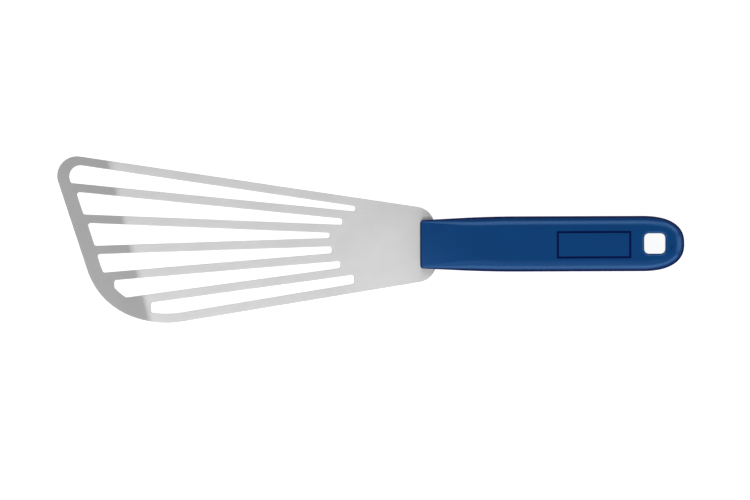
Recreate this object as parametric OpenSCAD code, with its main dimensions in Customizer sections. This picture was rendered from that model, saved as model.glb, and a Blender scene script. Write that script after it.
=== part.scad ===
// Slotted fish spatula: one bent stainless steel blade whose tang is moulded into a plastic handle.
// Millimetres. It lies as on a table: +X along the handle to its hanging end, +Z up.
// The origin is on the table, under the centre of the hanging hole. The blade's front is skewed:
// its +Y side, the corner side, reaches furthest, and its -Y side, the belly side, ends in a sweep.

/* [Blade outline] */
// From the handle's mouth to the front edge, along the middle
blade_reach = 163.3; // [120:0.1:200]
// Half width of the blade at the mouth, on the corner side
heel_corner_y = 17.8; // [15:0.1:22]
// Half width of the blade at the mouth, on the belly side
heel_belly_y = 18; // [15:0.1:22]
// Angle of the long edge on the corner side
corner_flare = 8.7; // [4:0.1:12]
// Angle of the long edge on the belly side
belly_flare = 9.25; // [4:0.05:12]
// Angle of the front edge from square
front_skew = 18; // [0:0.5:25]
// Radius of the front corner
corner_r = 9.4; // [7:0.1:14]
// Radius of the belly's sweep next to the front edge
sweep_front_r = 35.7; // [20:0.1:50]
// Radius of the sweep where it runs into the long edge
sweep_rear_r = 47; // [30:0.5:60]
// Angle to the handle at which the one radius passes into the other
sweep_angle = 20; // [5:1:45]
// Radius of the two heel corners beside the handle
shoulder_r = 9.4; // [3:0.1:10]
// How far the heel reaches into the handle
heel_depth = 7.4; // [4:0.1:12]
// Angle of the heel's end from square: it reaches further in on the belly side
heel_skew = 2.4; // [0:0.2:4]

/* [Ribs and slots] */
// Width of the five inner ribs
rib_w = 4.1; // [2.5:0.1:5]
// Width of the rib along the corner side
corner_rib_w = 4.2; // [3:0.1:5.5]
// Width of the rib along the belly side
belly_rib_w = 4.4; // [3:0.1:5.5]
// Where the inner ribs cross a line near the handle, from the corner side to the belly side
rib_rear_y = [13.9, 7.2, 1.5, -5.3, -12.4];
// Distance of that line from the handle
rib_rear_x = 32; // [20:1:50]
// Where the inner ribs cross a line near the front
rib_front_y = [26.2, 12.4, -2, -14.9, -28.2];
// Distance of that line from the handle
rib_front_x = 150; // [110:1:160]
// Width of the rim in front of each slot but the last, which runs round inside the belly's rib
slot_rim = [5.7, 6.7, 7.1, 6.8, 7.1];
// Furthest that each slot may reach from the handle
slot_front = [180, 180, 180, 180, 146.5, 129];
// Distance from the handle to the near end of each slot
slot_rear = [31, 37.3, 43.3, 42.4, 38.3, 31.8];
// Radius of the slots' corners
slot_r = 1.1; // [0.5:0.1:1.1]

/* [Sheet and bends] */
// Thickness of the steel sheet
sheet_t = 1; // [0.6:0.1:1.8]
// Distance from the handle's mouth to the fold of the tip, along the middle
fold_reach = 138.4; // [110:0.1:150]
// Angle of the fold line from square
fold_skew = 14.3; // [0:0.1:20]
// Angle at which the tip rises from the table
tip_rise = 14.5; // [5:0.5:25]
// Radius of the tip's fold, at the middle of the sheet
fold_r = 13; // [4:1:30]
// Distance into the handle of the slight bend that levels the tang
set_depth = 7; // [4:0.5:15]
// Radius of that slight bend, at the middle of the sheet
set_r = 40; // [10:1:60]

/* [Tang] */
// Length of the tang from the handle's mouth
tang_l = 88; // [40:1:96]
// Width of the tang
tang_w = 14; // [9:0.5:16]
// Radius of the tang's end corners
tang_end_r = 3; // [1:0.5:4]
// Radius in the corners between the heel and the tang
tang_root_r = 3; // [1:0.5:5]
// Diameter of the holes that the plastic flows through
anchor_d = 5; // [3:0.5:7]
// Number of those holes
anchor_count = 3; // [1:1:4]
// Distance of the first hole from the handle's mouth
anchor_start = 24; // [18:1:30]
// Distance between the holes
anchor_pitch = 24; // [10:1:24]

/* [Handle] */
// Length of the handle
handle_l = 126.5; // [115:0.5:150]
// Widest width of the handle
handle_w = 26.5; // [22:0.1:32]
// Thickness of the handle
handle_t = 12.8; // [10:0.1:16]
// Width of the rounding along the handle's long edges, seen from above
edge_w = 5.8; // [4:0.1:6]
// Height of that rounding
edge_h = 4; // [2:0.1:4.5]
// Length of the rounded hanging end
nose_l = 21; // [14:0.5:24]
// Fullness of the hanging end, where 2 is an ellipse
nose_power = 2.45; // [2:0.05:2.6]

/* [Handle mouth] */
// Width of the handle where the blade enters
mouth_w = 23.1; // [20:0.1:25]
// Thickness of the handle where the blade enters
mouth_t = 10.6; // [8:0.1:12]
// How fast the half width grows from the mouth
width_slope = 0.052; // [0.03:0.002:0.08]
// How fast the half thickness grows from the mouth
depth_slope = 0.034; // [0.02:0.002:0.06]
// Radius of the edges round the mouth
mouth_edge_r = 1.4; // [0.6:0.1:2]
// How fast the width of the long edges' rounding grows from the mouth
edge_w_slope = 0.33; // [0.1:0.01:0.4]
// How fast its height grows from the mouth
edge_h_slope = 0.17; // [0.05:0.01:0.25]

/* [Hanging hole] */
// Distance from the hole's centre to the end of the handle
hole_back = 14.2; // [12:0.1:18]
// Length of the hole
hole_l = 10.1; // [6:0.1:12]
// Width of the hole
hole_w = 9.7; // [6:0.1:12]
// Radius of the hole's upright corners
hole_corner_r = 2.1; // [1:0.1:2.5]
// Rounding of the hole's rims
hole_rim_r = 0.9; // [0.3:0.1:1.5]

/* [Framed panel] */
// Length of the engraved frame over its outside
panel_l = 35.6; // [20:0.1:40]
// Width of the engraved frame over its outside
panel_w = 13.1; // [8:0.1:16]
// Distance from the frame's middle to the hole's centre
panel_back = 29.1; // [26:0.1:40]
// How far the frame lies towards the belly side
panel_shift = 0.5; // [0:0.1:1]
// Width of the engraved line
groove_w = 0.9; // [0.4:0.1:1.4]
// Depth of the engraved line
groove_depth = 0.35; // [0.2:0.05:0.8]

/* [Gate mark] */
// Diameter of the small dimple where the plastic was fed in
gate_d = 2; // [1:0.1:3]
// Depth of the dimple
gate_depth = 0.3; // [0.1:0.05:0.6]
// Distance from the hole's centre to the dimple
gate_back = 8; // [7:0.1:9]
// How far the dimple lies towards the belly side
gate_shift = 1.7; // [0:0.1:3]

/* [Hidden] */
// Fineness in degrees of arcs in the outlines, of small round corners and of bends in the sheet
arc_step = 3;
corner_step = 15;
bend_step = 2;
// Fineness of true cylinders and of rounded offsets
bore_fn = 48;
// Extra that cuts run past a surface
over = 1;
// Height of upright cuts through the blade, more than its tip ever rises
cut_h = blade_reach;
// The mouth's place in the part's frame: shapes below are drawn from the mouth
mouth_x = hole_back - handle_l;

// Unit vector, and the crossing of two lines given as [normal x, normal y, distance]
function unit(v) = v / norm(v);
function crossing(a, b) =
    [a[2] * b[1] - b[2] * a[1], a[0] * b[2] - b[0] * a[2]] / (a[0] * b[1] - b[0] * a[1]);
// The same line, moved inwards by w
function inset(line, w) = [line[0], line[1], line[2] + w];
// The arc of radius r that rounds corner b between a and c
function rounded_corner(a, b, c, r) =
    let (
        to_a = unit(a - b),
        to_c = unit(c - b),
        half = acos(to_a * to_c) / 2,
        centre = b + unit(to_a + to_c) * r / sin(half),
        first = b + to_a * r / tan(half) - centre,
        last = b + to_c * r / tan(half) - centre,
        start = atan2(first.y, first.x),
        turn = (atan2(last.y, last.x) - start + 540) % 360 - 180,
        steps = ceil(abs(turn) / arc_step)
    )
    [for (i = [0:steps]) centre + r * [cos(start + turn * i / steps), sin(start + turn * i / steps)]];
// A closed outline of straight lines, with the corner after each line rounded
function rounded_outline(lines, radii) =
    let (
        n = len(lines),
        corners = [for (i = [0:n - 1]) crossing(lines[i], lines[(i + 1) % n])]
    )
    [for (i = [0:n - 1])
        each rounded_corner(corners[(i + n - 1) % n], corners[i], corners[(i + 1) % n], radii[i])];
// The smaller of two values, blended smoothly where they differ by less than k
function soft_min(a, b, k) = min(a, b) - pow(max(k - abs(a - b), 0), 2) / (4 * k);

// The straight lines round the blade: their normals point inwards
corner_line = [-sin(corner_flare), -cos(corner_flare), -heel_corner_y * cos(corner_flare)];
front_line = [cos(front_skew), sin(front_skew), -blade_reach * cos(front_skew)];
belly_line = [-sin(belly_flare), cos(belly_flare), -heel_belly_y * cos(belly_flare)];
heel_line = [-cos(heel_skew), -sin(heel_skew), -heel_depth * cos(heel_skew)];
// The line that both arcs of the sweep touch, set where they meet end to end
function sweep_touch(d, r) = [sin(sweep_angle), cos(sweep_angle), d + r];
function sweep_gap(d) =
    let (
        front_centre = crossing(inset(front_line, sweep_front_r), sweep_touch(d, sweep_front_r)),
        rear_centre = crossing(sweep_touch(d, sweep_rear_r), inset(belly_line, sweep_rear_r))
    )
    (front_centre - rear_centre) * [cos(sweep_angle), -sin(sweep_angle)];
sweep_line = sweep_touch(sweep_gap(0) / (sweep_gap(0) - sweep_gap(1)), 0);
// The least rounding that a corner gets where the sheet is cut square
sharp_r = 0.05;

slot_count = len(slot_front);
// The rim in front of each slot
rims = concat(slot_rim, [belly_rib_w]);
// The centre line of an inner rib, as a line whose normal points to the corner side
function rib_line(i) =
    let (along = unit([rib_front_x - rib_rear_x, rib_rear_y[i] - rib_front_y[i]]))
    [-along.y, along.x, [-along.y, along.x] * [-rib_front_x, rib_front_y[i]]];
function flipped(line) = [-line[0], -line[1], -line[2]];
// The lines along the two sides of slot i, at the edges of its ribs
function slot_corner_side(i) =
    i == 0 ? corner_line : inset(flipped(rib_line(i - 1)), rib_w / 2);
function slot_belly_side(i) =
    i == slot_count - 1 ? inset(belly_line, belly_rib_w) : inset(rib_line(i), rib_w / 2);

// The fan's outline, drawn in by one width along the corner side and by another from there on
module fan(side, front, heel_r) {
    polygon(rounded_outline(
        [inset(corner_line, side), inset(front_line, front), inset(sweep_line, front),
            inset(belly_line, front), heel_line],
        [corner_r - side, sweep_front_r - front, sweep_rear_r - front, heel_r, heel_r]));
}

// The tapered gap between two ribs, cut square at both ends
module slot_gap(i) {
    ends = [[1, 0, -slot_front[i]], [-1, 0, slot_rear[i]]];
    polygon([
        crossing(slot_corner_side(i), ends[0]),
        crossing(slot_belly_side(i), ends[0]),
        crossing(slot_belly_side(i), ends[1]),
        crossing(slot_corner_side(i), ends[1])]);
}

module slot(i) {
    offset(r = slot_r, $fn = bore_fn) offset(delta = -slot_r) intersection() {
        fan(corner_rib_w, rims[i], sharp_r);
        slot_gap(i);
    }
}

module tang_outline() {
    side = tang_w / 2;
    polygon(rounded_outline(
        [[0, -1, -side], [1, 0, 0], [0, 1, -side], [-1, 0, -tang_l]],
        [sharp_r, sharp_r, tang_end_r, tang_end_r]));
}

// The flat blank, seen from above: fan, slots and tang
module blank() {
    difference() {
        offset(r = -tang_root_r, $fn = bore_fn) offset(delta = tang_root_r) {
            fan(0, 0, shoulder_r);
            tang_outline();
        }
        for (i = [0:slot_count - 1]) slot(i);
    }
}

// The middle of the sheet seen square to the fold, from the tang to the tip, as [distance, height, rise]
tang_z = handle_t / 2;
fold_q = -fold_reach * cos(fold_skew);
set_q = set_depth * cos(fold_skew);
// The blade falls from the handle so that its fold touches the table
rough_fall = atan((tang_z - sheet_t / 2) / (set_q - fold_q));
fold_z = sheet_t / 2 + fold_r * (1 - cos((tip_rise - rough_fall) / 2) / cos((tip_rise + rough_fall) / 2));
blade_fall = atan((tang_z - fold_z) / (set_q - fold_q));
function heading(rise) = [-cos(rise), sin(rise)];
function upward(rise) = [sin(rise), cos(rise)];
// The points of a bend of radius r at a corner, from one rise to another
function bend(corner, from, to, r) =
    let (
        side = sign(to - from),
        start = corner - heading(from) * r * tan(abs(to - from) / 2),
        centre = start + side * r * upward(from),
        steps = ceil(abs(to - from) / bend_step)
    )
    [for (i = [0:steps])
        let (rise = from + (to - from) * i / steps, p = centre - side * r * upward(rise))
        [p.x, p.y, rise]];
// Both ends run well past the blank
tang_end_q = tang_l + tang_w;
tip_end = [fold_q, fold_z] + heading(tip_rise) * (blade_reach - fold_reach + heel_corner_y + heel_belly_y);
sheet_path = concat(
    [[tang_end_q, tang_z, 0]],
    bend([set_q, tang_z], 0, -blade_fall, set_r),
    bend([fold_q, fold_z], -blade_fall, tip_rise, fold_r),
    [[tip_end.x, tip_end.y, tip_rise]]);
function sheet_face(side) = [for (p = sheet_path) [p.x, p.y] + side * sheet_t / 2 * upward(p.z)];

// The bent sheet before it is blanked, as wide as it needs
module bent_sheet() {
    lower = sheet_face(-1);
    upper = sheet_face(1);
    rotate([0, 0, fold_skew]) rotate([90, 0, 0]) linear_extrude(2 * blade_reach, center = true)
        polygon(concat(lower, [for (i = [len(upper) - 1:-1:0]) upper[i]]));
}

module anchor_holes() {
    for (i = [0:anchor_count - 1])
        translate([anchor_start + i * anchor_pitch, 0, tang_z])
            cylinder(h = sheet_t + 2 * over, d = anchor_d, center = true, $fn = bore_fn);
}

module formed_blade() {
    difference() {
        intersection() {
            bent_sheet();
            translate([0, 0, -over]) linear_extrude(cut_h) blank();
        }
        anchor_holes();
    }
}

// The mouth's corners are a little rounder from above than its edges, which turn round them
corner_plan_r = 1.2 * mouth_edge_r;
// The handle's half width, its half thickness and the rounding of its edges at distance s from the
// mouth, each growing in a straight line and then levelling off over a short blend
width_blend = 0.75;
function side_y(s) = soft_min(mouth_w / 2 + width_slope * s, handle_w / 2, width_blend);
function half_t(s) = soft_min(mouth_t / 2 + depth_slope * s, handle_t / 2, width_blend);
function past_corner(s) = max(s - corner_plan_r, 0);
function long_edge_w(s) = soft_min(mouth_edge_r + edge_w_slope * past_corner(s), edge_w, width_blend);
function long_edge_h(s) = soft_min(mouth_edge_r + edge_h_slope * past_corner(s), edge_h, width_blend);
nose_x = handle_l - nose_l;
// Half sections along the side, closer together towards the mouth, and round the hanging end
side_steps = 22;
side_crowding = 1.2;
nose_steps = 14;
// Angle short of the very end at which the last half section closes the form
nose_last = 2;
function nose_point(t) =
    let (
        along = pow(cos(t), 2 / nose_power),
        across = pow(sin(t), 2 / nose_power),
        out = unit([pow(along, nose_power - 1) / nose_l, pow(across, nose_power - 1) / (handle_w / 2)])
    )
    [nose_x + nose_l * along, handle_w / 2 * across, out.x, out.y];
// One half of the handle's outline as [x, y, normal x, normal y], from the mouth to the hanging end
half_outline = concat(
    [for (a = [180:-corner_step:90])
        let (r = corner_plan_r)
        [r * (1 + cos(a)), side_y(r) + r * (sin(a) - 1), cos(a), sin(a)]],
    [for (i = [1:side_steps])
        let (
            s = corner_plan_r + (nose_x - corner_plan_r) * pow(i / (side_steps + 1), side_crowding),
            out = unit([side_y(s - over) - side_y(s + over), 2 * over])
        )
        [s, side_y(s), out.x, out.y]],
    [for (i = [0:nose_steps]) nose_point(90 - (90 - nose_last) * i / nose_steps)]);
// The rounded edge from the flat top round to the flat underside, as shares of its width and its
// height, with 1 for the upper half and -1 for the lower
edge_steps = 7;
edge_profile = concat(
    [for (i = [0:edge_steps]) let (a = 90 * i / edge_steps) [1 - sin(a), 1 - cos(a), 1]],
    [for (i = [edge_steps:-1:0]) let (a = 90 * i / edge_steps) [1 - sin(a), 1 - cos(a), -1]]);

// The handle's outer form: half sections joined from the mouth to the hanging end, and mirrored
module handle_form() {
    m = len(half_outline);
    k = len(edge_profile);
    function section_point(p, e, mirrored) =
        let (
            w = long_edge_w(p[0]),
            x = p[0] - p[2] * w * e[0],
            y = p[1] - p[3] * w * e[0],
            z = handle_t / 2 + e[2] * (half_t(x) - long_edge_h(p[0]) * e[1])
        )
        [x, mirrored * y, z];
    points = [for (mirrored = [1, -1], p = half_outline, e = edge_profile) section_point(p, e, mirrored)];
    function at(side, i, j) = side * m * k + i * k + j;
    function square_of(a, b, c, d) = [[a, c, b], [a, d, c]];
    faces = concat(
        [for (i = [0:m - 2], j = [0:k - 2])
            each square_of(at(0, i, j), at(0, i + 1, j), at(0, i + 1, j + 1), at(0, i, j + 1))],
        [for (i = [0:m - 2], j = [0:k - 2])
            each square_of(at(1, i, j), at(1, i, j + 1), at(1, i + 1, j + 1), at(1, i + 1, j))],
        [for (j = [0:k - 2]) each square_of(at(0, 0, j), at(0, 0, j + 1), at(1, 0, j + 1), at(1, 0, j))],
        [for (j = [0:k - 2])
            each square_of(at(0, m - 1, j), at(1, m - 1, j), at(1, m - 1, j + 1), at(0, m - 1, j + 1))],
        [for (i = [0:m - 2]) each square_of(at(0, i, 0), at(1, i, 0), at(1, i + 1, 0), at(0, i + 1, 0))],
        [for (i = [0:m - 2])
            each square_of(at(0, i, k - 1), at(0, i + 1, k - 1), at(1, i + 1, k - 1), at(1, i, k - 1))]);
    polyhedron(points, faces, convexity = 4);
}

// The hanging hole's distance from the mouth
hole_x = handle_l - hole_back;

// The upright cut of the hanging hole, flared at both ends so that its rims are round
module hanging_hole() {
    rim_steps = 4;
    rim = [for (i = [0:rim_steps])
        let (a = 90 * i / rim_steps)
        hole_rim_r * [1 - sin(a), 1 - cos(a)]];
    // Each level is [extra radius, height], from above the handle to below it
    levels = concat(
        [[hole_rim_r, handle_t + over]],
        [for (r = rim) [r[0], handle_t - r[1]]],
        [for (i = [rim_steps:-1:0]) rim[i]],
        [[hole_rim_r, -over]]);
    // Each quadrant is [side along x, side along y, first angle]
    quadrants = [[1, 1, 0], [-1, 1, 90], [-1, -1, 180], [1, -1, 270]];
    arc = [0:corner_step:90];
    points = [for (level = levels, q = quadrants, a = arc)
        let (r = hole_corner_r + level[0])
        [hole_x + q[0] * (hole_l / 2 - hole_corner_r) + r * cos(q[2] + a),
            q[1] * (hole_w / 2 - hole_corner_r) + r * sin(q[2] + a),
            level[1]]];
    n = len(quadrants) * len([for (a = arc) a]);
    last = len(levels) - 1;
    faces = concat(
        [for (i = [0:last - 1], j = [0:n - 1])
            let (next = (j + 1) % n)
            each [
                [i * n + j, i * n + next, (i + 1) * n + next],
                [i * n + j, (i + 1) * n + next, (i + 1) * n + j]]],
        [[for (j = [n - 1:-1:0]) j]],
        [[for (j = [0:n - 1]) last * n + j]]);
    polyhedron(points, faces, convexity = 4);
}

// The engraved frame of the bare panel
module panel_frame() {
    translate([hole_x - panel_back, -panel_shift, handle_t]) difference() {
        cube([panel_l, panel_w, 2 * groove_depth], center = true);
        cube([panel_l - 2 * groove_w, panel_w - 2 * groove_w, 4 * groove_depth], center = true);
    }
}

module gate_mark() {
    translate([hole_x + gate_back, -gate_shift, handle_t])
        cylinder(h = 2 * gate_depth, d = gate_d, center = true, $fn = bore_fn);
}

module blade() {
    color("silver") translate([mouth_x, 0, 0]) formed_blade();
}

module handle() {
    color("#1f4a86") translate([mouth_x, 0, 0]) difference() {
        handle_form();
        formed_blade();
        hanging_hole();
        panel_frame();
        gate_mark();
    }
}

blade();
handle();
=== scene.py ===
# %% [markdown]
# # A fish spatula, finished for the camera
# The real object is two pieces: a thin stamped stainless blade and a plastic handle moulded over its tang.
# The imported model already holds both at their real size, so this lesson doesn't place anything. It gives
# the blade the softly rounded edges that tumbling leaves, models the handle again as one smooth moulding,
# and then works on the two finishes and on the light that shows them.

# %% Load the frame
import math

import bmesh
import bpy
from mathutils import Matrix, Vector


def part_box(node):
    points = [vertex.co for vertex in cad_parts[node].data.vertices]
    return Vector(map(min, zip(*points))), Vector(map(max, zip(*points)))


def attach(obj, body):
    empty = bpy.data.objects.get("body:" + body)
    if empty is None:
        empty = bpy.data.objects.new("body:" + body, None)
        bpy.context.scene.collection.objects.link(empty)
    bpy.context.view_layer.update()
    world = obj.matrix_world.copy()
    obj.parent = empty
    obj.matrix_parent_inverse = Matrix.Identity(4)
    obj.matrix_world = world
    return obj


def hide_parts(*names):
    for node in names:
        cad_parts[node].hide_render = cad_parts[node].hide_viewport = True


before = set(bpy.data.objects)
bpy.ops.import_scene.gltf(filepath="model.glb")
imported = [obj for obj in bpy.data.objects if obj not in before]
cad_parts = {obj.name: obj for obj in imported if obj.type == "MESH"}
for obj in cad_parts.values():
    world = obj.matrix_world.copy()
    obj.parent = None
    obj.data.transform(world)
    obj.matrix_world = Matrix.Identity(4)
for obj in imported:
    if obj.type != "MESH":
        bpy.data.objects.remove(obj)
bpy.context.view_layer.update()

MM = 0.001
BODY = "root"

# %% [markdown]
# ## Camera
# The picture is a catalogue view from straight above, with the handle to the right. A very long lens from
# far away keeps the long, thin object free of perspective, which is how such pictures are taken. The
# camera is turned by a fifth of a degree, because the handle in the picture rises that much to the right.

# %% Camera from straight above
PICTURE_WIDTH_PX = 750
# The real width of one pixel, and the height over the table at which it is that wide
PIXEL = 0.479 * MM
MEASURED_HEIGHT = 5.0 * MM
CAMERA_X = -133.91 * MM
CAMERA_Y = -2.63 * MM
CAMERA_HEIGHT = 6.0
CAMERA_ROLL = math.radians(-0.21)
SENSOR_MM = 36.0
FAR_LIMIT = 20.0


def make_camera():
    data = bpy.data.cameras.new("straight_down")
    data.sensor_width = SENSOR_MM
    data.lens = SENSOR_MM * (CAMERA_HEIGHT - MEASURED_HEIGHT) / (PICTURE_WIDTH_PX * PIXEL)
    data.clip_end = FAR_LIMIT
    camera = bpy.data.objects.new("straight_down", data)
    camera.location = (CAMERA_X, CAMERA_Y, CAMERA_HEIGHT)
    camera.rotation_euler = (0.0, 0.0, CAMERA_ROLL)
    bpy.context.scene.collection.objects.link(camera)
    bpy.context.scene.camera = camera
    print("lens in mm:", round(data.lens, 1))


make_camera()

# %% [markdown]
# ## Small tools for modelling
# Every operator works on whatever is selected, and the loaded nodes are selected at first. So each step
# starts by deselecting everything, and inside a mesh the faces, edges or points are picked by where they
# lie. A few short helpers do this for the whole lesson, and apply modifiers and copy CAD nodes as well.

# %% Helpers for selecting and editing
# Points closer together than this are one point
SAME_POINT = 0.001 * MM


def only(piece):
    """Selects this one object and makes it active."""
    bpy.ops.object.select_all(action="DESELECT")
    piece.select_set(True)
    bpy.context.view_layer.objects.active = piece


def edit(piece):
    """Opens this one object in edit mode."""
    only(piece)
    bpy.ops.object.mode_set(mode="EDIT")


def done():
    """Leaves edit mode."""
    bpy.ops.object.mode_set(mode="OBJECT")


def pick(kind, test):
    """In edit mode, selects the points, edges or faces for which test is true, and counts them."""
    bpy.ops.mesh.select_mode(type=kind)
    bpy.ops.mesh.select_all(action="DESELECT")
    mesh = bmesh.from_edit_mesh(bpy.context.object.data)
    chosen = {"VERT": mesh.verts, "EDGE": mesh.edges, "FACE": mesh.faces}[kind]
    count = 0
    for element in chosen:
        if test(element):
            element.select_set(True)
            count += 1
    # For points and edges this also selects every other edge whose two points are chosen by now, whether or
    # not test is true for it. The count leaves those out
    mesh.select_flush(kind != "FACE")
    bmesh.update_edit_mesh(bpy.context.object.data)
    return count


def apply_modifier(piece, kind, **settings):
    """Adds a modifier with these settings and applies it."""
    only(piece)
    modifier = piece.modifiers.new(kind.title(), kind)
    for name, value in settings.items():
        setattr(modifier, name, value)
    bpy.ops.object.modifier_apply(modifier=modifier.name)


def merged_copy(node, name):
    """A copy of a CAD node's mesh with its loose triangles joined at their shared points."""
    piece = bpy.data.objects.new(name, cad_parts[node].data.copy())
    bpy.context.scene.collection.objects.link(piece)
    edit(piece)
    bpy.ops.mesh.select_all(action="SELECT")
    bpy.ops.mesh.remove_doubles(threshold=SAME_POINT)
    bpy.ops.mesh.customdata_custom_splitnormals_clear()
    done()
    return piece


# %% [markdown]
# ## The blade
# A real blade is cut and bent from 1 mm sheet, and then tumbled with grit, which rounds every cut edge by
# about a quarter of a millimetre. The CAD solid is right in every outline and bend but has knife-sharp
# edges, which would catch no light. So a copy of it gets a bevel along all edges that turn sharply.
#
# The solid's flat faces are made of many triangles, and its slight bend at the handle of narrow strips,
# which would cut the bevel short. So faces that turn by less than 0.8 degrees from their neighbours are
# joined first. The fold of the tip turns by more than that and by less than the bevel's limit at each step,
# so it keeps its strips, and smooth shading rounds it.

# %% Round the blade's cut edges
TUMBLED_EDGE = 0.28 * MM
TUMBLED_STEPS = 3
SHARP_TURN = math.radians(35)
SAME_FACE = math.radians(0.8)


def make_blade():
    blade = merged_copy("blade", "slotted_blade")
    edit(blade)
    bpy.ops.mesh.select_all(action="SELECT")
    bpy.ops.mesh.dissolve_limited(angle_limit=SAME_FACE)
    done()
    apply_modifier(
        blade, "BEVEL", width=TUMBLED_EDGE, segments=TUMBLED_STEPS, limit_method="ANGLE",
        angle_limit=SHARP_TURN, use_clamp_overlap=False, miter_outer="MITER_ARC")
    only(blade)
    bpy.ops.object.shade_smooth_by_angle(angle=SHARP_TURN)
    apply_modifier(blade, "WEIGHTED_NORMAL", keep_sharp=True)
    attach(blade, BODY)
    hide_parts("blade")
    print("blade faces:", len(blade.data.polygons))
    return blade


blade = make_blade()

# %% [markdown]
# ## The handle's outline
# The handle is one injection moulding. From above it widens a little from the mouth, runs parallel, and
# ends in a full, almost elliptical nose. Its edges are tight where the blade enters and grow to a soft
# round, 5.8 mm wide and 4 mm high, in the palm. No single bevel makes such an edge, so the outline is
# worked out first, as points with their outward direction, and the rounding is built from rings that are
# drawn in and lowered by the rounding's own width and height at each place.

# %% Sizes of the handle
handle_low, handle_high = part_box("handle")
HANDLE_L = handle_high.x - handle_low.x
HANDLE_HALF_W = handle_high.y
HANDLE_HALF_T = (handle_high.z - handle_low.z) / 2
TOP_Z = 2 * HANDLE_HALF_T
MOUTH_X = handle_low.x
MOUTH_HALF_W = 11.55 * MM
MOUTH_HALF_T = 5.3 * MM
MOUTH_EDGE_R = 1.4 * MM
# From above, the mouth's corners are a little rounder than its edges
CORNER_FULLNESS = 1.2
CORNER_R = CORNER_FULLNESS * MOUTH_EDGE_R
# Width and height of the rounding in the palm
PALM_EDGE_W = 5.8 * MM
PALM_EDGE_H = 4.0 * MM
# How fast the half width and the half thickness grow from the mouth
WIDTH_SLOPE = 0.052
DEPTH_SLOPE = 0.034
# How fast the rounding grows: more slowly than in the CAD solid, as the picture's light bands show
EDGE_W_SLOPE = 0.2
EDGE_H_SLOPE = 0.11
# A growing size and its limit are blended where they are closer together than this
BLEND = 0.75 * MM
# Length of the rounded end, and its fullness, where 2 is an ellipse
NOSE_L = 21.0 * MM
NOSE_POWER = 2.45
print("handle in mm:", [round(size / MM, 2) for size in (HANDLE_L, 2 * HANDLE_HALF_W, TOP_Z)])

# %% How the handle's section grows from the mouth
def soft_min(a, b):
    """The smaller of two values, blended where they are close."""
    return min(a, b) - max(BLEND - abs(a - b), 0.0) ** 2 / (4 * BLEND)


def half_width(s):
    return soft_min(MOUTH_HALF_W + WIDTH_SLOPE * s, HANDLE_HALF_W)


def half_thickness(s):
    return soft_min(MOUTH_HALF_T + DEPTH_SLOPE * s, HANDLE_HALF_T)


def edge_width(s):
    return soft_min(MOUTH_EDGE_R + EDGE_W_SLOPE * max(s - CORNER_R, 0.0), PALM_EDGE_W)


def edge_height(s):
    return soft_min(MOUTH_EDGE_R + EDGE_H_SLOPE * max(s - CORNER_R, 0.0), PALM_EDGE_H)


# %% Points of the outline
CORNER_STEPS = 7
SIDE_STEPS = 26
NOSE_STEPS = 30
# Over 1, the points along the side lie closer together towards the mouth
SIDE_CROWDING = 1.2
# Degrees short of the very end at which the last point lies
NOSE_LAST = 2


def outline_half():
    """Points (x, y, outward x, outward y) from the mouth to the hanging end, for y above 0."""
    points = []
    corner_y = half_width(CORNER_R) - CORNER_R
    for i in range(CORNER_STEPS + 1):
        angle = math.radians(180 - 90 * i / CORNER_STEPS)
        out_x = math.cos(angle)
        out_y = math.sin(angle)
        points.append((CORNER_R * (1 + out_x), corner_y + CORNER_R * out_y, out_x, out_y))
    nose_x = HANDLE_L - NOSE_L
    for i in range(1, SIDE_STEPS + 1):
        share = (i / (SIDE_STEPS + 1)) ** SIDE_CROWDING
        s = CORNER_R + (nose_x - CORNER_R) * share
        slope = (half_width(s + MM) - half_width(s - MM)) / (2 * MM)
        length = math.hypot(slope, 1)
        points.append((s, half_width(s), -slope / length, 1 / length))
    for i in range(NOSE_STEPS + 1):
        angle = math.radians(90 - (90 - NOSE_LAST) * i / NOSE_STEPS)
        along = math.cos(angle) ** (2 / NOSE_POWER)
        across = math.sin(angle) ** (2 / NOSE_POWER)
        out_x = along ** (NOSE_POWER - 1) / NOSE_L
        out_y = across ** (NOSE_POWER - 1) / HANDLE_HALF_W
        length = math.hypot(out_x, out_y)
        points.append((nose_x + NOSE_L * along, HANDLE_HALF_W * across, out_x / length, out_y / length))
    return points


upper_half = outline_half()
OUTLINE = upper_half + [(x, -y, out_x, -out_y) for x, y, out_x, out_y in reversed(upper_half)]
print("outline points:", len(OUTLINE))

# %% [markdown]
# ## The handle's body
# The body starts as a circle with one point for each point of the outline. It is laid on the outline at
# the parting plane, half way up, and extruded ring by ring: a hair-fine parting groove, the straight
# side, and then the rounded edge. Each point carries the number of its place on the outline, so that
# every new ring can be set to its own height and drawn in by what that place asks. Two long chains
# of the last ring are bridged for the top, and the lower half is the mirror image.

# %% Rings that follow the outline
def ring_point(i, inset, drop):
    """Place of outline point i, drawn in by inset and lowered from the top face by drop."""
    x, y, out_x, out_y = OUTLINE[i]
    in_x = x - out_x * inset
    return (MOUTH_X + in_x, y - out_y * inset, half_thickness(in_x) - drop)


def at_height(z, inset):
    """The places of a level ring at height z over the parting plane, drawn in by inset."""
    return lambda i: (*ring_point(i, inset, 0)[:2], z)


def on_rounding(angle):
    """The places of a ring on the rounded edge: 0 is where it leaves the side, 90 degrees the top."""
    def place(i):
        s = OUTLINE[i][0]
        inset = edge_width(s) * (1 - math.cos(angle))
        drop = edge_height(s) * (1 - math.sin(angle))
        return ring_point(i, inset, drop)
    return place


def set_ring(place):
    """Moves the selected points to where place(i) says, by the number each one carries."""
    mesh = bmesh.from_edit_mesh(bpy.context.object.data)
    number = mesh.verts.layers.int["place"]
    for vert in mesh.verts:
        if vert.select:
            vert.co = place(vert[number])
    bmesh.update_edit_mesh(bpy.context.object.data)


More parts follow.
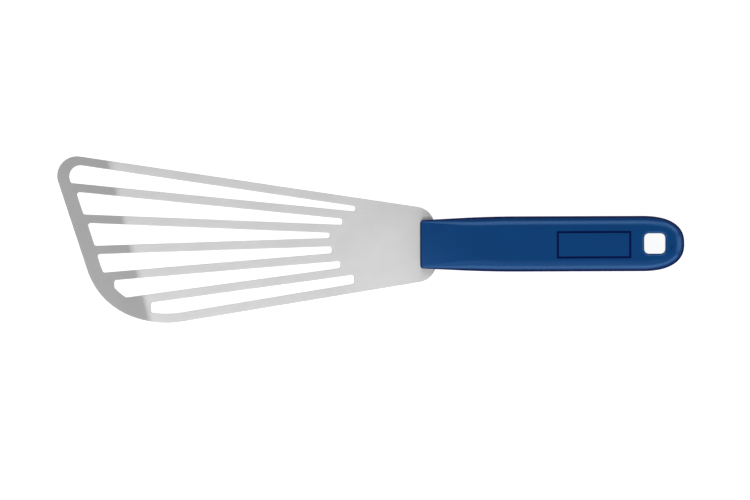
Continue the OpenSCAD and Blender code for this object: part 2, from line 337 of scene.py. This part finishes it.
def next_ring(place):
    """Extrudes the last ring and sets the new one."""
    bpy.ops.mesh.extrude_edges_move()
    set_ring(place)


# %% Extrude the upper half from the parting plane
PARTING_DEPTH = 0.05 * MM
PARTING_HALF_W = 0.10 * MM
ROUND_STEPS = 12


def make_body():
    bpy.ops.object.select_all(action="DESELECT")
    bpy.ops.mesh.primitive_circle_add(vertices=len(OUTLINE), radius=HANDLE_HALF_W)
    body = bpy.context.object
    body.name = "moulded_grip"
    body.data.name = "moulded_grip"
    edit(body)
    bpy.ops.mesh.select_all(action="SELECT")
    mesh = bmesh.from_edit_mesh(body.data)
    number = mesh.verts.layers.int.new("place")
    mesh.verts.ensure_lookup_table()
    for i, vert in enumerate(mesh.verts):
        vert[number] = i
    bmesh.update_edit_mesh(body.data)
    set_ring(at_height(0.0, PARTING_DEPTH))
    next_ring(at_height(PARTING_HALF_W, 0.0))
    for step in range(ROUND_STEPS + 1):
        next_ring(on_rounding(math.radians(90 * step / ROUND_STEPS)))
    return body


grip = make_body()
print("points of the upper half:", len(bmesh.from_edit_mesh(grip.data).verts))

# %% Close the top and mirror it
# Faces that turn by less than this from each other are one flat face
SAME_PLANE = math.radians(0.05)


def close_top(body):
    """Bridges the two long sides of the last ring, then mirrors the upper half downwards."""
    half = len(upper_half)
    across_nose = [half - 1, half]
    across_mouth = [0, 2 * half - 1]
    mesh = bmesh.from_edit_mesh(body.data)
    number = mesh.verts.layers.int["place"]
    for edge in mesh.edges:
        places = sorted(vert[number] for vert in edge.verts)
        if edge.select and places in (across_nose, across_mouth):
            edge.select_set(False)
    bmesh.update_edit_mesh(body.data)
    bpy.ops.mesh.select_mode(type="EDGE")
    bpy.ops.mesh.bridge_edge_loops()
    bpy.ops.mesh.select_all(action="SELECT")
    bpy.ops.mesh.symmetrize(direction="POSITIVE_Z", threshold=SAME_POINT)
    bpy.ops.mesh.select_all(action="SELECT")
    bpy.ops.mesh.remove_doubles(threshold=SAME_POINT)
    bpy.ops.mesh.normals_make_consistent(inside=False)
    bpy.ops.mesh.dissolve_limited(angle_limit=SAME_PLANE)
    bpy.ops.transform.translate(value=(0, 0, HANDLE_HALF_T))
    done()


close_top(grip)
print("grip faces:", len(grip.data.polygons))

# %% [markdown]
# ## The hanging hole
# A moulded hole is a pin in the mould, and its rims are rounded, here by 1.3 mm, so that a hook doesn't cut
# in. A cube whose edges are bevelled is the pin, and its ends lie outside the body. It is taken away from
# the body, and then the edges of both rims are picked by their place and bevelled.
#
# One fault is known and is left in here. The upright edges of the hole's wall run from one rim to the
# other, so `pick` selects them as well, and they are bevelled too. In the corners they stand only 0.4 mm
# apart, so the wall's faces fold over each other there. The wall lies up to 0.26 mm too far out and 0.08 mm
# too far in, and some of its faces are turned round. With `mesh.select_flush_mode()` in `pick`, the upright
# edges are left alone and the wall comes out clean.

# %% Helpers for cutting
# The upright part of a face's normal tells what lies level and what stands like a wall
LEVEL_NORMAL = 0.9
WALL_NORMAL = 0.1


def is_level(face):
    return abs(face.normal.z) > LEVEL_NORMAL


def is_wall(face):
    return abs(face.normal.z) < WALL_NORMAL


def is_upright(edge):
    """An edge that rises by more than a millimetre."""
    low, high = sorted(vert.co.z for vert in edge.verts)
    return high - low > MM


def cutting_block(name, size, centre):
    """A cube primitive at its size and place, left in edit mode."""
    bpy.ops.object.select_all(action="DESELECT")
    bpy.ops.mesh.primitive_cube_add(size=1.0)
    block = bpy.context.object
    block.name = name
    edit(block)
    bpy.ops.mesh.select_all(action="SELECT")
    bpy.ops.transform.resize(value=size)
    bpy.ops.transform.translate(value=centre)
    return block


def cut(piece, cutter):
    """Takes the cutter away from the piece and throws the cutter away."""
    apply_modifier(piece, "BOOLEAN", operation="DIFFERENCE", solver="EXACT", object=cutter)
    bpy.data.objects.remove(cutter)


# %% Cut the hole and round its rims
HOLE_L = 10.1 * MM
HOLE_W = 9.7 * MM
HOLE_CORNER_R = 2.1 * MM
HOLE_CORNER_STEPS = 8
HOLE_RIM_R = 1.3 * MM
HOLE_RIM_STEPS = 6


def rim_edge(edge):
    """An edge where the hole's wall meets the top or bottom face."""
    levels = sum(is_level(face) for face in edge.link_faces)
    walls = sum(is_wall(face) for face in edge.link_faces)
    near = all(abs(vert.co.x) < HOLE_L and abs(vert.co.y) < HOLE_W for vert in edge.verts)
    return near and levels == 1 and walls == 1


def make_hole(body):
    pin = cutting_block("hole_pin", (HOLE_L, HOLE_W, 2 * TOP_Z), (0, 0, HANDLE_HALF_T))
    pick("EDGE", is_upright)
    bpy.ops.mesh.bevel(offset=HOLE_CORNER_R, segments=HOLE_CORNER_STEPS, affect="EDGES")
    done()
    cut(body, pin)
    edit(body)
    rims = pick("EDGE", rim_edge)
    bpy.ops.mesh.bevel(offset=HOLE_RIM_R, segments=HOLE_RIM_STEPS, affect="EDGES", clamp_overlap=False)
    done()
    print("rim edges picked:", rims)


make_hole(grip)

# %% [markdown]
# ## The engraved frame and the gate mark
# The mould has a thin raised frame, which leaves a groove round a bare panel, and plastic came in through
# a small gate, which leaves a dimple. The frame's cutter is a flat block whose top and bottom are inset
# and bridged into a ring. A squashed ball is the cutter for the dimple. The groove's upper edges get a
# small bevel, because a mould never leaves them razor sharp.

# %% Engrave the panel's frame
PANEL_L = 35.6 * MM
PANEL_W = 13.1 * MM
PANEL_X = -29.1 * MM
PANEL_Y = -0.5 * MM
GROOVE_W = 0.9 * MM
GROOVE_DEPTH = 0.35 * MM


def make_frame_groove(body):
    ring = cutting_block(
        "frame_cutter", (PANEL_L, PANEL_W, 2 * GROOVE_DEPTH), (PANEL_X, PANEL_Y, TOP_Z))
    pick("FACE", is_level)
    bpy.ops.mesh.inset(thickness=GROOVE_W)
    bpy.ops.mesh.bridge_edge_loops()
    bpy.ops.mesh.select_all(action="SELECT")
    bpy.ops.mesh.normals_make_consistent(inside=False)
    done()
    cut(body, ring)


make_frame_groove(grip)
print("grip faces with the groove:", len(grip.data.polygons))

# %% Press in the gate mark
GATE_X = 8.0 * MM
GATE_Y = -1.7 * MM
GATE_R = 1.0 * MM
GATE_DEPTH = 0.3 * MM


def make_gate_mark(body):
    bpy.ops.object.select_all(action="DESELECT")
    bpy.ops.mesh.primitive_uv_sphere_add(segments=24, ring_count=12, radius=GATE_R)
    ball = bpy.context.object
    edit(ball)
    bpy.ops.mesh.select_all(action="SELECT")
    bpy.ops.transform.resize(value=(1, 1, GATE_DEPTH / GATE_R))
    bpy.ops.transform.translate(value=(GATE_X, GATE_Y, TOP_Z))
    done()
    cut(body, ball)


make_gate_mark(grip)
print("grip faces with the gate mark:", len(grip.data.polygons))

# %% Round the groove's upper edges
GROOVE_LIP = 0.1 * MM
GROOVE_LIP_STEPS = 2
# What lies closer than this to the top face lies on it
SKIN = 0.01 * MM
# The share of the panel's size from its middle, just over half, that takes in the frame's outer edge
FRAME_REACH = 0.52


def groove_edge(edge):
    """An edge where the groove's wall meets the top face."""
    on_top = all(abs(vert.co.z - TOP_Z) < SKIN for vert in edge.verts)
    along = all(abs(vert.co.x - PANEL_X) < FRAME_REACH * PANEL_L for vert in edge.verts)
    across = all(abs(vert.co.y - PANEL_Y) < FRAME_REACH * PANEL_W for vert in edge.verts)
    walls = sum(is_wall(face) for face in edge.link_faces)
    return on_top and along and across and walls == 1


edit(grip)
print("groove edges rounded:", pick("EDGE", groove_edge))
bpy.ops.mesh.bevel(offset=GROOVE_LIP, segments=GROOVE_LIP_STEPS, affect="EDGES", clamp_overlap=False)
done()

# %% [markdown]
# ## The pocket for the tang
# The plastic was shot round the blade's heel and tang, and fills its three anchor holes. Taking a copy of
# the blade away from the body gives just that seat, with the thin slit at the mouth. The body is complete
# then, so it is shaded smooth, except along edges that turn by more than 32 degrees.

# %% Seat the handle on the tang
CRISP_TURN = math.radians(32)

cut(grip, merged_copy("blade", "tang_cutter"))
only(grip)
bpy.ops.object.shade_smooth_by_angle(angle=CRISP_TURN)
apply_modifier(grip, "WEIGHTED_NORMAL", keep_sharp=True)
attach(grip, BODY)
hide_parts("handle")
print("grip faces with its seat:", len(grip.data.polygons))

# %% [markdown]
# ## Mark where shade is painted
# The frame and the gate mark were cut into the mould after its other faces had been finished, so they
# keep a rawer, matte skin, the gate mark less so than the frame. Their darker navy is painted shade, for
# the shade that falls into these shallow recesses. The pin that leaves the hanging hole is turned and
# polished by itself, so its faces shine all the way down, although they stand upright, and they get no
# painted shade. A number on each face says which ones these are, and the plastic's material reads it.

# %% Number the faces that get painted shade
# How much painted shade the gate mark gets, against the frame's groove
GATE_PAINTED_SHADE = 0.45
# How far down from the top face the groove and the gate mark reach, with room to spare
CUT_REACH = 1.5 * GROOVE_DEPTH


def painted_shade(centre):
    """Painted shade: 1 in the frame's groove, less in the gate mark, and 0 elsewhere.
    -1 in the polished hole keeps the upright sides' painted shade off its faces.
    """
    if abs(centre.x) < HOLE_L / 2 + HOLE_RIM_R and abs(centre.y) < HOLE_W / 2 + HOLE_RIM_R:
        return -1.0
    if not TOP_Z - CUT_REACH < centre.z < TOP_Z - SKIN:
        return 0.0
    if abs(centre.x - PANEL_X) < PANEL_L / 2 and abs(centre.y - PANEL_Y) < PANEL_W / 2:
        return 1.0
    if math.hypot(centre.x - GATE_X, centre.y - GATE_Y) < GATE_R:
        return GATE_PAINTED_SHADE
    return 0.0


def mark_painted_shade(piece):
    mark = piece.data.attributes.new("painted_shade", "FLOAT", "FACE")
    for face in piece.data.polygons:
        mark.data[face.index].value = painted_shade(face.center)
    # Faces that get painted shade: the groove and the gate mark
    print("raw faces:", sum(1 for item in mark.data if item.value > 0))
    print("polished faces:", sum(1 for item in mark.data if item.value < 0))


mark_painted_shade(grip)

# %% [markdown]
# ## Colours and nodes
# Colours are written as the hex values that a paint program shows, and turned to the linear values that
# the renderer wants. One helper adds a node, sets its values and links its inputs. Two more start a
# material and give it to a piece.

# %% Colour and material helpers
# A noise keeps mostly between these values, so they are stretched to the ends of what it drives
NOISE_LOW = 0.3
NOISE_HIGH = 0.7


def linear(hex_colour):
    """An sRGB hex colour as linear red, green, blue and 1."""
    channels = [int(hex_colour[i:i + 2], 16) / 255 for i in (1, 3, 5)]
    return (*[c / 12.92 if c <= 0.04045 else ((c + 0.055) / 1.055) ** 2.4 for c in channels], 1.0)


def add(tree, kind, links=None, **values):
    """Adds a node. values set its options, or inputs by name with spaces as underscores."""
    node = tree.nodes.new(kind)
    for name, value in values.items():
        socket = node.inputs.get(name.replace("_", " "))
        if socket is None:
            setattr(node, name, value)
        else:
            socket.default_value = value
    for name, source in (links or {}).items():
        tree.links.new(source, node.inputs[name])
    return node


def new_material(name):
    """An empty material and its node tree."""
    material = bpy.data.materials.new(name)
    material.use_nodes = True
    tree = material.node_tree
    tree.nodes.clear()
    return material, tree


def dress(piece, material):
    """Makes this the piece's only material."""
    piece.data.materials.clear()
    piece.data.materials.append(material)
    print(piece.name, "is dressed in", material.name)


# %% [markdown]
# ## Satin brushed stainless steel
# Kitchen stainless is a nickel-chrome steel with a neutral, light grey reflection. It was brushed along the
# blade, which leaves fine parallel lines: along them it mirrors sharply, across them it smears light far
# to the sides. That is anisotropy, and its direction is across the brushing. The lines themselves are a
# noise that is stretched sixty times along the blade. Real ones are a tenth of a millimetre wide or less,
# and they are drawn half a millimetre wide here, because finer ones wouldn't show.

# %% Make the steel
BRUSH_LINE = 0.5 * MM
BRUSH_LENGTH = 30 * MM
# Size of the faint cloud from grey to grey
CLOUD = 14 * MM
STEEL_GREY = "#C9C9C9"
STEEL_LIGHT_GREY = "#D5D5D5"
STEEL_ROUGHNESS = (0.50, 0.56)


def make_steel():
    material, tree = new_material("satin_brushed_stainless_steel")
    place = add(tree, "ShaderNodeTexCoord").outputs["Object"]
    lines_place = add(tree, "ShaderNodeMapping", {"Vector": place},
                      Scale=(1 / BRUSH_LENGTH, 1 / BRUSH_LINE, 1 / BRUSH_LINE))
    lines = add(tree, "ShaderNodeTexNoise", {"Vector": lines_place.outputs["Vector"]},
                Scale=1.0, Detail=3.0, Roughness=0.6)
    clouds = add(tree, "ShaderNodeTexNoise", {"Vector": place}, Scale=1 / CLOUD, Detail=4.0, Roughness=0.55)
    tone = add(tree, "ShaderNodeMix", {"Factor": clouds.outputs["Fac"]}, data_type="RGBA")
    tone.inputs["A"].default_value = linear(STEEL_GREY)
    tone.inputs["B"].default_value = linear(STEEL_LIGHT_GREY)
    rough = add(tree, "ShaderNodeMapRange", {"Value": lines.outputs["Fac"]},
                From_Min=NOISE_LOW, From_Max=NOISE_HIGH,
                To_Min=STEEL_ROUGHNESS[0], To_Max=STEEL_ROUGHNESS[1])
    height = add(tree, "ShaderNodeBump", {"Height": lines.outputs["Fac"]}, Strength=0.12, Distance=0.02 * MM)
    across = add(tree, "ShaderNodeCombineXYZ", X=0.0, Y=1.0, Z=0.0)
    shader = add(tree, "ShaderNodeBsdfPrincipled", {
        "Base Color": tone.outputs["Result"], "Roughness": rough.outputs["Result"],
        "Normal": height.outputs["Normal"], "Tangent": across.outputs["Vector"]},
        Metallic=1.0, Anisotropic=0.65)
    add(tree, "ShaderNodeOutputMaterial", {"Surface": shader.outputs["BSDF"]})
    return material


dress(blade, make_steel())

# %% [markdown]
# ## Moulded navy polypropylene
# The handle is polypropylene, coloured right through. The mould's top and bottom were polished and then
# finely spark-eroded, so they show a soft satin with a broad light band along the rounded edges. The
# pigment lies close under the skin, so the reflection is tinted, and that band is pale blue and not white.
# The upright sides come off the mould with a coarser, matte skin, and their colour is painted a darker
# navy as painted shade, and so is what the engraver cut. Two shaders are mixed by how upright a face stands
# and by the painted shade number on each face. The real grain of the erosion is a few hundredths of a
# millimetre wide, and it is drawn 0.3 mm wide so that it shows.

# %% Make the plastic
EROSION_GRAIN = 0.3 * MM
# Size of the faint cloud that the flowing plastic leaves
FLOW_CLOUD = 18 * MM
NAVY = "#01376F"
LIGHT_NAVY = "#033E79"
# Painted shade: the darker navy of the upright sides, the groove and the gate mark
PAINTED_SHADE_NAVY = "#01164E"
PIGMENT_TINT = "#8FC6FF"
POLYPROPYLENE_IOR = 1.49
SATIN_ROUGHNESS = (0.23, 0.27)
MATTE_ROUGHNESS = 0.7
# The upright part of the normal: matte skin and painted shade start at a tilt of 33 degrees, full at 53
MATTE_AND_SHADE_STARTS = 0.84
MATTE_AND_SHADE_FULL = 0.6


def make_plastic():
    material, tree = new_material("moulded_navy_polypropylene")
    coordinates = add(tree, "ShaderNodeTexCoord")
    place = coordinates.outputs["Object"]
    flow = add(tree, "ShaderNodeTexNoise", {"Vector": place}, Scale=1 / FLOW_CLOUD, Detail=2.0)
    grain = add(tree, "ShaderNodeTexNoise", {"Vector": place}, Scale=1 / EROSION_GRAIN, Detail=2.0)
    tone = add(tree, "ShaderNodeMix", {"Factor": flow.outputs["Fac"]}, data_type="RGBA")
    tone.inputs["A"].default_value = linear(NAVY)
    tone.inputs["B"].default_value = linear(LIGHT_NAVY)
    rough = add(tree, "ShaderNodeMapRange", {"Value": grain.outputs["Fac"]},
                From_Min=NOISE_LOW, From_Max=NOISE_HIGH,
                To_Min=SATIN_ROUGHNESS[0], To_Max=SATIN_ROUGHNESS[1])
    height = add(tree, "ShaderNodeBump", {"Height": grain.outputs["Fac"]}, Strength=0.25, Distance=0.02 * MM)
    satin = add(tree, "ShaderNodeBsdfPrincipled", {
        "Base Color": tone.outputs["Result"], "Roughness": rough.outputs["Result"],
        "Normal": height.outputs["Normal"]},
        IOR=POLYPROPYLENE_IOR, Specular_IOR_Level=0.9, Specular_Tint=linear(PIGMENT_TINT))
    # Matte skin whose colour is darkened as painted shade
    matte_shaded = add(tree, "ShaderNodeBsdfPrincipled", {"Normal": height.outputs["Normal"]},
                Base_Color=linear(PAINTED_SHADE_NAVY), Roughness=MATTE_ROUGHNESS,
                IOR=POLYPROPYLENE_IOR, Specular_IOR_Level=0.05)
    # The mix puts the matte skin and its painted shade on upright faces and, by each face's number, in the
    # groove and gate mark
    direction = add(tree, "ShaderNodeSeparateXYZ", {"Vector": coordinates.outputs["Normal"]})
    level = add(tree, "ShaderNodeMath", operation="ABSOLUTE")
    tree.links.new(direction.outputs["Z"], level.inputs[0])
    upright_matte_and_shade = add(tree, "ShaderNodeMapRange", {"Value": level.outputs["Value"]},
               From_Min=MATTE_AND_SHADE_STARTS, From_Max=MATTE_AND_SHADE_FULL, To_Min=0.0, To_Max=1.0)
    mark = add(tree, "ShaderNodeAttribute", attribute_name="painted_shade")
    matte_and_shade = add(tree, "ShaderNodeMath", operation="ADD", use_clamp=True)
    tree.links.new(upright_matte_and_shade.outputs["Result"], matte_and_shade.inputs[0])
    tree.links.new(mark.outputs["Fac"], matte_and_shade.inputs[1])
    both = add(tree, "ShaderNodeMixShader", {"Fac": matte_and_shade.outputs["Value"]})
    tree.links.new(satin.outputs["BSDF"], both.inputs[1])
    tree.links.new(matte_shaded.outputs["BSDF"], both.inputs[2])
    add(tree, "ShaderNodeOutputMaterial", {"Surface": both.outputs["Shader"]})
    return material


dress(grip, make_plastic())

# %% [markdown]
# ## Floor and sky
# The picture has a pure white ground. More light would wash out the object as well, so the floor is a grey
# sheet that glows for the camera and for reflections alone. It clips to white there and still keeps the
# object's shadow. The sky is white to the camera in the same way, and fills in weakly elsewhere.

# %% Lay the floor
FLOOR_SIZE = 12.0
# Just under the table's height, so that the floor and the part's underside don't share a plane
FLOOR_DROP = 0.05 * MM
FLOOR_GLOW = 0.93
PAPER_GREY = "#A0A0A0"
WHITE = (1, 1, 1, 1)


def seen_directly(tree):
    """1 for rays from the camera, from gloss and from glass, and 0 for all others."""
    path = add(tree, "ShaderNodeLightPath")
    first = add(tree, "ShaderNodeMath", operation="MAXIMUM")
    tree.links.new(path.outputs["Is Camera Ray"], first.inputs[0])
    tree.links.new(path.outputs["Is Glossy Ray"], first.inputs[1])
    both = add(tree, "ShaderNodeMath", operation="MAXIMUM")
    tree.links.new(first.outputs["Value"], both.inputs[0])
    tree.links.new(path.outputs["Is Transmission Ray"], both.inputs[1])
    return both.outputs["Value"]


def make_floor():
    bpy.ops.object.select_all(action="DESELECT")
    bpy.ops.mesh.primitive_plane_add(size=FLOOR_SIZE, location=(0, 0, -FLOOR_DROP))
    floor = bpy.context.object
    floor.name = "floor"
    material, tree = new_material("white_paper_floor")
    paper = add(tree, "ShaderNodeBsdfDiffuse", Color=linear(PAPER_GREY))
    glow_level = add(tree, "ShaderNodeMath", operation="MULTIPLY")
    tree.links.new(seen_directly(tree), glow_level.inputs[0])
    glow_level.inputs[1].default_value = FLOOR_GLOW
    glow = add(tree, "ShaderNodeEmission", {"Strength": glow_level.outputs["Value"]}, Color=WHITE)
    total = add(tree, "ShaderNodeAddShader")
    tree.links.new(paper.outputs["BSDF"], total.inputs[0])
    tree.links.new(glow.outputs["Emission"], total.inputs[1])
    add(tree, "ShaderNodeOutputMaterial", {"Surface": total.outputs["Shader"]})
    dress(floor, material)


make_floor()

# %% Hang the sky
SKY_LEVEL = 0.2


def make_sky():
    world = bpy.data.worlds.new("plain_sky")
    bpy.context.scene.world = world
    world.use_nodes = True
    tree = world.node_tree
    tree.nodes.clear()
    path = add(tree, "ShaderNodeLightPath")
    level = add(tree, "ShaderNodeMapRange", {"Value": path.outputs["Is Camera Ray"]},
                To_Min=SKY_LEVEL, To_Max=1.0)
    sky = add(tree, "ShaderNodeBackground", {"Strength": level.outputs["Result"]}, Color=WHITE)
    add(tree, "ShaderNodeOutputWorld", {"Surface": sky.outputs["Background"]})
    print("sky level away from the camera:", SKY_LEVEL)


make_sky()

# %% [markdown]
# ## Lamps
# Brushed steel and satin plastic look like what they mirror, so each lamp is a soft box placed for one
# reflection. A long box far out on the corner side and a smaller one near by on the belly side draw the
# light bands along the handle's two edges, and a weak panel fills in between. A panel over the blade alone
# lifts the ribs on the belly side, and a small, low one does the same for the steel at the mouth. Both end
# about where the handle starts, because its rounding would mirror them as a second band. Three small boxes
# carry the band round the hanging end.
#
# Seen from straight above, the raised tip mirrors what lies 29 degrees towards the handle. The two long
# boxes and the panel over the blade end short of that, so the tip turns darker, as in the picture.

# %% A soft box
def soft_box(name, aim_x, azimuth, tilt, distance, length, width, radiance):
    """A lamp at this tilt from upright, its short side towards the azimuth, turned to its aim."""
    data = bpy.data.lights.new(name, "AREA")
    data.shape = "RECTANGLE"
    data.size = length
    data.size_y = width
    data.energy = radiance * math.pi * length * width
    lamp = bpy.data.objects.new(name, data)
    turn = math.radians(azimuth)
    lean = math.radians(tilt)
    lamp.location = (
        aim_x + distance * math.sin(lean) * math.cos(turn),
        distance * math.sin(lean) * math.sin(turn),
        distance * math.cos(lean))
    lamp.rotation_euler = (-lean, 0, turn - math.radians(90))
    lamp.visible_camera = False
    bpy.context.scene.collection.objects.link(lamp)
    print(name, "watts:", round(data.energy, 2))


# %% Set up the soft boxes
soft_box("far_box", aim_x=-1.6, azimuth=90, tilt=41, distance=3.0,
         length=4.2, width=1.3, radiance=2.1)
soft_box("near_box", aim_x=-0.32, azimuth=-90, tilt=66.5, distance=0.7,
         length=0.80, width=0.40, radiance=1.9)
soft_box("near_panel", aim_x=-0.23, azimuth=-90, tilt=33, distance=0.5,
         length=0.62, width=0.38, radiance=0.45)
soft_box("top_panel", aim_x=-0.287, azimuth=-90, tilt=19, distance=0.32,
         length=0.30, width=0.13, radiance=2.15)
soft_box("heel_panel", aim_x=-0.130, azimuth=-90, tilt=19, distance=0.10,
         length=0.04, width=0.05, radiance=0.8)
soft_box("end_box", aim_x=0.0, azimuth=0, tilt=55, distance=0.3,
         length=0.16, width=0.22, radiance=1.6)
soft_box("far_corner_box", aim_x=0.0, azimuth=52, tilt=54, distance=0.3,
         length=0.20, width=0.13, radiance=2.0)
soft_box("near_corner_box", aim_x=0.0, azimuth=-58, tilt=58, distance=0.3,
         length=0.26, width=0.13, radiance=2.1)
bpy.context.scene.view_settings.view_transform = "Standard"
